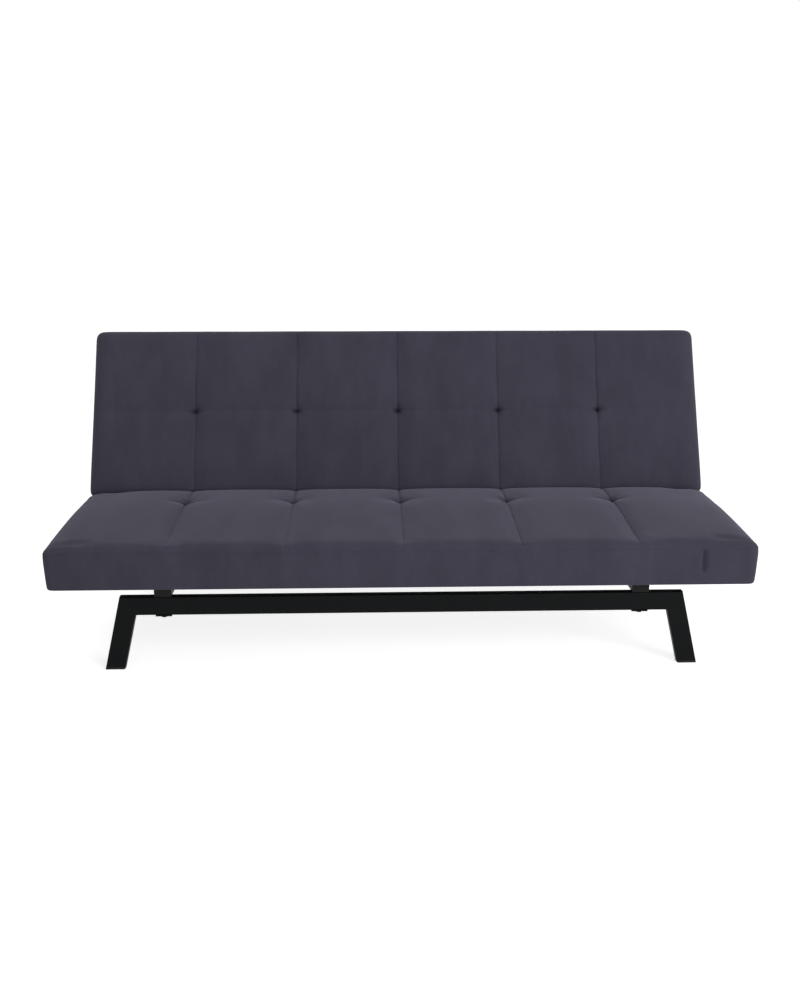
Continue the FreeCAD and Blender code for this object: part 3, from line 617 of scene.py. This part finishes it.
# Even out how far neighbouring points moved, apart from the sewn ones.
def smoothed(data, shifts, held, passes):
    for turn in range(passes):
        total = [shift.copy() for shift in shifts]
        count = [1] * len(shifts)
        for edge in data.edges:
            a, b = edge.vertices
            total[a] += shifts[b]
            total[b] += shifts[a]
            count[a] += 1
            count[b] += 1
        shifts = [shift if held[k] == 1 else total[k] / count[k] for k, shift in enumerate(shifts)]
    return shifts


# Let air fill the sewn cover, then keep what the cloth did within a cap.
def swellCloth(piece, held, settings):
    rest = [vertex.co.copy() for vertex in piece.data.vertices]
    group = piece.vertex_groups.new(name="sewn")
    for index, weight in enumerate(held):
        if weight > 0:
            group.add([index], weight, "REPLACE")
    cloth = piece.modifiers.new("cloth", "CLOTH")
    for key, value in clothSettings.items():
        setattr(cloth.settings, key, value)
    cloth.settings.effector_weights.gravity = 0
    cloth.collision_settings.use_collision = False
    cloth.point_cache.frame_start = 1
    cloth.point_cache.frame_end = settings["frames"]
    for step in range(1, settings["frames"] + 1):
        scene.frame_set(step)
    moved = piece.evaluated_get(bpy.context.evaluated_depsgraph_get()).to_mesh()
    shifts = [vertex.co - before for before, vertex in zip(rest, moved.vertices)]
    shifts = smoothed(piece.data, shifts, held, settings["smoothing"])
    places = []
    for before, shift in zip(rest, shifts):
        if shift.length > settings["cap"]:
            shift *= settings["cap"] / shift.length
        places.append(before + shift)
    piece.modifiers.remove(cloth)
    scene.frame_set(1)
    for vertex, place in zip(piece.data.vertices, places):
        vertex.co = place
    piece.vertex_groups.clear()


def subdivide(piece):
    finer = piece.modifiers.new("finer", "SUBSURF")
    finer.levels = 1
    finer.render_levels = 1
    bakeModifiers(piece)


def bakeModifiers(piece):
    graph = bpy.context.evaluated_depsgraph_get()
    made = bpy.data.meshes.new_from_object(piece.evaluated_get(graph))
    piece.modifiers.clear()
    piece.data = made


# The slots where the hinge plates turn: x from the middle, then y and z outlines in the panel.

hingeBays = {
    "near": 0.6113,
    "far": 0.6327,
    "seat": [(0.432, 0.0), (0.523, 0.0), (0.523, 0.121), (0.482, 0.121), (0.482, 0.086), (0.432, 0.086)],
    "back": [(-0.010, 0.0), (0.063, 0.0), (0.063, 0.086), (0.028, 0.086), (0.028, 0.121), (-0.010, 0.121)],
}


# Cut the hinge slots through the cover, both ends alike.
def cutBays(piece, outline):
    cutter = bmesh.new()
    for side in (-1, 1):
        faces = []
        for x in (side * hingeBays["near"], side * hingeBays["far"]):
            faces.append([cutter.verts.new((x, y, z - (0.01 if z == 0 else 0))) for y, z in outline])
        cutter.faces.new(faces[0])
        cutter.faces.new(list(reversed(faces[1])))
        for k in range(len(outline)):
            after = (k + 1) % len(outline)
            cutter.faces.new((faces[0][after], faces[0][k], faces[1][k], faces[1][after]))
    bmesh.ops.recalc_face_normals(cutter, faces=cutter.faces)
    data = bpy.data.meshes.new("bayCutter")
    cutter.to_mesh(data)
    cutter.free()
    tool = bpy.data.objects.new("bayCutter", data)
    scene.collection.objects.link(tool)
    cut = piece.modifiers.new("bays", "BOOLEAN")
    cut.object = tool
    cut.operation = "DIFFERENCE"
    cut.solver = "EXACT"
    bakeModifiers(piece)
    bpy.data.objects.remove(tool)


# The cover stands a little proud at the ends, and its top slopes and domes as the padding does.
def drape(piece, panel):
    depth = panel["depth"]
    footShare = draping["footShare"]
    for vertex in piece.data.vertices:
        x, y, z = vertex.co
        share = ramp(y, 0, depth)
        proud = panel["proud"] + panel["flare"] * (1 - share) ** 1.5
        out = ramp(abs(x), draping["endsFrom"], draping["endsOver"]) ** 2 * proud
        vertex.co.x += math.copysign(out * (footShare + (1 - footShare) * z / panelThick), x)
        vertex.co.y += panel["rise"] * share ** 4

        loose = ramp(z, draping["stillBelow"], draping["looseOver"])
        toRear = ramp(y, 0, draping["domeTo"])
        atRear = fading(depth - y, draping["rearReach"])
        broad = max(0, 1 - (x / halfWidth) ** 10) * toRear * toRear * (3 - 2 * toRear) * (1 - atRear ** 2)
        front = fading(y, panel["fallReach"]) ** 1.6
        end = fading(halfWidth - abs(x), draping["endReach"]) ** 2
        vertex.co.z += loose * (panel["dome"] * broad - panel["frontFall"] * front - panel["endFall"] * end)

        if panel["creased"] and y < 0.004 and 0 < z < panelThick:
            tall = bell(z - frontCrease["middle"], frontCrease["reach"], 4)
            vertex.co.y += frontCrease["deep"] * tall * bell(x - frontCrease["x"], frontCrease["half"])


# Painted shade: how much the velvet is darkened at each point, in the seams, at the tufts and in the front crease,
# where shade falls.
def paintSeamShade(piece, panel, shape):
    shade = paintedShadeSizes
    values = []
    for vertex in piece.data.vertices:
        x, y, z = vertex.co
        paintedShade = 0.0
        seamX = seamLine(x, shape)
        if panel["creased"] and y < 0.012 and abs(z - frontCrease["middle"]) < frontCrease["reach"]:
            paintedShade = shade["crease"] * bell(x - frontCrease["x"], shade["creaseWide"])
        if z > panelThick - shade["below"] - tuft["deep"] and abs(seamX) < halfWidth - 0.01:
            aside, beyond = x - seamX, y - panel["tuftRow"]
            uneven = 0.5 + 0.9 * noise.noise(Vector((seamX * 7, y * 14, 0.3)))
            line = shade["seam"] * max(shade["leastSeam"], uneven) * bell(aside, shade["seamWide"])
            if min(y, panel["depth"] - y) <= panel["topRound"] * 0.4:
                line = 0.0
            spot = shade["tuft"] * bell(aside, shade["tuftAcross"]) * bell(beyond, shade["tuftAlong"])
            paintedShade = max(paintedShade, line, spot)
        values.append(paintedShade)
    marks = piece.data.attributes.new("paintedSeamShade", "FLOAT", "POINT")
    marks.data.foreach_set("value", values)


def makeUpholstery(group):
    panel = panels[group]
    piece, held = panelMesh(group + "Upholstery", panel, upholstery)
    swellCloth(piece, held, swelling)
    subdivide(piece)
    cutBays(piece, hingeBays[group])
    # Paint shade into the seams, tufts and front crease, for the velvet material to darken.
    paintSeamShade(piece, panel, upholstery)
    drape(piece, panel)
    piece.data.transform(panel["place"])
    piece.data.materials.clear()
    piece.data.materials.append(finishes["velvet"])
    for face in piece.data.polygons:
        face.use_smooth = True
    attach(piece, group)
    rims = ("seat_front", "seat_rear") if group == "seat" else ("back_lower", "back_upper")
    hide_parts(group + "_cushion", rims[0] + "_border", rims[1] + "_border",
                group + "_end_border_left", group + "_end_border_right")
    print(group, "upholstery has", len(piece.data.polygons), "faces")
    return piece


for group in panels:
    makeUpholstery(group)


# Staples that hold each dust cover to its rails, one Geometry Nodes tree for both panels.

stapleSettings = {
    "pitch": 0.048,
    "inset": 0.007,
    "span": 0.0105,
    "wire": 0.0006,
    "clear": 0.014,
}


def stapleTree():
    tree = bpy.data.node_groups.new("stapleRow", "GeometryNodeTree")
    socket = tree.interface.new_socket
    socket("Geometry", in_out="INPUT", socket_type="NodeSocketGeometry")
    socket("Span", in_out="INPUT", socket_type="NodeSocketFloat")
    socket("Wire", in_out="INPUT", socket_type="NodeSocketFloat")
    socket("Finish", in_out="INPUT", socket_type="NodeSocketMaterial")
    socket("Geometry", in_out="OUTPUT", socket_type="NodeSocketGeometry")

    def add(kind, **settings):
        node = tree.nodes.new(kind)
        for key, value in settings.items():
            setattr(node, key, value)
        return node

    given, made = add("NodeGroupInput"), add("NodeGroupOutput")
    wire = add("GeometryNodeMeshCylinder")
    wire.inputs["Vertices"].default_value = 8
    turn = add("GeometryNodeInputNamedAttribute", data_type="FLOAT")
    turn.inputs["Name"].default_value = "turn"
    angles = add("ShaderNodeCombineXYZ")
    angles.inputs["Y"].default_value = math.pi / 2
    rows = add("GeometryNodeInstanceOnPoints")
    real = add("GeometryNodeRealizeInstances")
    coat = add("GeometryNodeSetMaterial")
    join = tree.links.new
    join(given.outputs["Span"], wire.inputs["Depth"])
    join(given.outputs["Wire"], wire.inputs["Radius"])
    join(turn.outputs["Attribute"], angles.inputs["Z"])
    join(given.outputs["Geometry"], rows.inputs["Points"])
    join(wire.outputs["Mesh"], rows.inputs["Instance"])
    join(angles.outputs["Vector"], rows.inputs["Rotation"])
    join(rows.outputs["Instances"], real.inputs["Geometry"])
    join(real.outputs["Geometry"], coat.inputs["Geometry"])
    join(given.outputs["Finish"], coat.inputs["Material"])
    join(coat.outputs["Geometry"], made.inputs["Geometry"])
    return tree


# Where the staples sit along the sheet's four edges, clear of the hinge slots and the bearing strips.
def staplePoints(low, high, settings):
    strip = [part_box("bearing_strips_" + side) for side in ("left", "right")]
    barred = [(hingeBays["near"], hingeBays["far"])]
    barred += [(min(abs(a.x), abs(b.x)), max(abs(a.x), abs(b.x))) for a, b in strip]
    inset, points = settings["inset"], []
    for along in (True, False):
        first, last = (low.x, high.x) if along else (low.y, high.y)
        count = round((last - first - 2 * inset) / settings["pitch"])
        for k in range(count + 1):
            run = first + inset + (last - first - 2 * inset) * k / count
            if along and any(a - settings["clear"] < abs(run) < b + settings["clear"] for a, b in barred):
                continue
            for edge in ((low.y + inset, high.y - inset) if along else (low.x + inset, high.x - inset)):
                if along:
                    points.append((run, edge, 0.0))
                elif 0 < k < count:
                    points.append((edge, run, math.pi / 2))
    return points


def makeStaples(group, tree, settings):
    cover = nodes[group + "_dust_cover"]
    intoPanel = panels[group]["place"].inverted() @ cover.matrix_world
    corners = [intoPanel @ vertex.co for vertex in cover.data.vertices]
    low = Vector([min(corner[k] for corner in corners) for k in range(3)])
    high = Vector([max(corner[k] for corner in corners) for k in range(3)])
    points = staplePoints(low, high, settings)
    data = bpy.data.meshes.new(group + "Staples")
    data.from_pydata([(x, y, low.z) for x, y, turn in points], [], [])
    turns = data.attributes.new("turn", "FLOAT", "POINT")
    turns.data.foreach_set("value", [turn for x, y, turn in points])
    piece = bpy.data.objects.new(group + "Staples", data)
    scene.collection.objects.link(piece)
    rows = piece.modifiers.new("staples", "NODES")
    rows.node_group = tree
    values = {"Span": settings["span"], "Wire": settings["wire"], "Finish": finishes["zinc_steel"]}
    for item in tree.interface.items_tree:
        if item.in_out == "INPUT" and item.name in values:
            rows[item.identifier] = values[item.name]
    bakeModifiers(piece)
    piece.data.transform(panels[group]["place"])
    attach(piece, group)
    print(group, "has", len(points), "staples")


rowTree = stapleTree()
for group in panels:
    makeStaples(group, rowTree, stapleSettings)


# Floor, backdrop and light

stageSettings = {
    "floorColour": (0.80, 0.80, 0.80),
    "floorGlow": 0.76,
    "world": (0.05, 0.62),
    "worldSpan": (-0.9, 0.5),
    "floorReach": 12,
    "aim": (0, 0, 0.35),
    "lamps": (
        ("softKey", (3.0, -3.6, 2.0), (2.0, 2.0), 84.0),
        ("softFill", (1.2, -4.6, 1.4), (2.4, 1.8), 30.0),
        ("overhead", (-1.6, 0.1, 2.6), (1.2, 1.2), 9.0),
    ),
}


def seenRays(tree, path):
    # One where the camera sees the surface straight, in gloss or through glass.
    first, second = tree.nodes.new("ShaderNodeMath"), tree.nodes.new("ShaderNodeMath")
    first.operation = second.operation = "MAXIMUM"
    tree.links.new(path.outputs["Is Camera Ray"], first.inputs[0])
    tree.links.new(path.outputs["Is Glossy Ray"], first.inputs[1])
    tree.links.new(first.outputs[0], second.inputs[0])
    tree.links.new(path.outputs["Is Transmission Ray"], second.inputs[1])
    return second.outputs[0]


def setStage(settings):
    shader = Shader("paleFloor")
    shader.set(Roughness=0.9, Base_Color=(*settings["floorColour"], 1), Specular_IOR_Level=0.1)
    white = shader.add("Emission")
    path = shader.add("LightPath")
    share = shader.add("Math", {1: settings["floorGlow"]}, operation="MULTIPLY")
    shader.join(seenRays(shader.tree, path), share.inputs[0])
    shader.join(share.outputs[0], white.inputs["Strength"])
    both = shader.add("AddShader")
    shader.join(shader.surface.outputs[0], both.inputs[0])
    shader.join(white.outputs[0], both.inputs[1])
    shader.join(both.outputs[0], shader.tree.nodes["Material Output"].inputs["Surface"])
    data = bpy.data.meshes.new("floor")
    reach = settings["floorReach"]
    corners = [(-reach, -reach, 0), (reach, -reach, 0), (reach, reach, 0), (-reach, reach, 0)]
    data.from_pydata(corners, [], [(0, 1, 2, 3)])
    data.materials.append(shader.material)
    floor = bpy.data.objects.new("floor", data)
    scene.collection.objects.link(floor)

    world = bpy.data.worlds.new("studio")
    scene.world = world
    world.use_nodes = True
    tree = world.node_tree
    background = tree.nodes["Background"]
    background.inputs["Color"].default_value = (1, 1, 1, 1)
    path = tree.nodes.new("ShaderNodeLightPath")
    place = tree.nodes.new("ShaderNodeTexCoord")
    split = tree.nodes.new("ShaderNodeSeparateXYZ")
    tree.links.new(place.outputs["Generated"], split.inputs[0])
    slope = tree.nodes.new("ShaderNodeMapRange")  # darker to the left, as behind a flag
    slope.inputs["From Min"].default_value, slope.inputs["From Max"].default_value = settings["worldSpan"]
    slope.inputs["To Min"].default_value, slope.inputs["To Max"].default_value = settings["world"]
    tree.links.new(split.outputs["X"], slope.inputs["Value"])
    seen = tree.nodes.new("ShaderNodeMapRange")
    seen.inputs["To Max"].default_value = 1.0
    tree.links.new(slope.outputs["Result"], seen.inputs["To Min"])
    tree.links.new(seenRays(tree, path), seen.inputs["Value"])
    tree.links.new(seen.outputs["Result"], background.inputs["Strength"])

    for name, place, size, power in settings["lamps"]:
        lamp = bpy.data.lights.new(name, "AREA")
        lamp.shape = "RECTANGLE"
        lamp.size, lamp.size_y = size
        lamp.energy = power
        holder = bpy.data.objects.new(name, lamp)
        scene.collection.objects.link(holder)
        holder.location = place
        aim = Vector(settings["aim"]) - Vector(place)
        holder.rotation_euler = aim.to_track_quat("-Z", "Y").to_euler()


setStage(stageSettings)
scene.view_settings.view_transform = "Standard"
print("stage set")
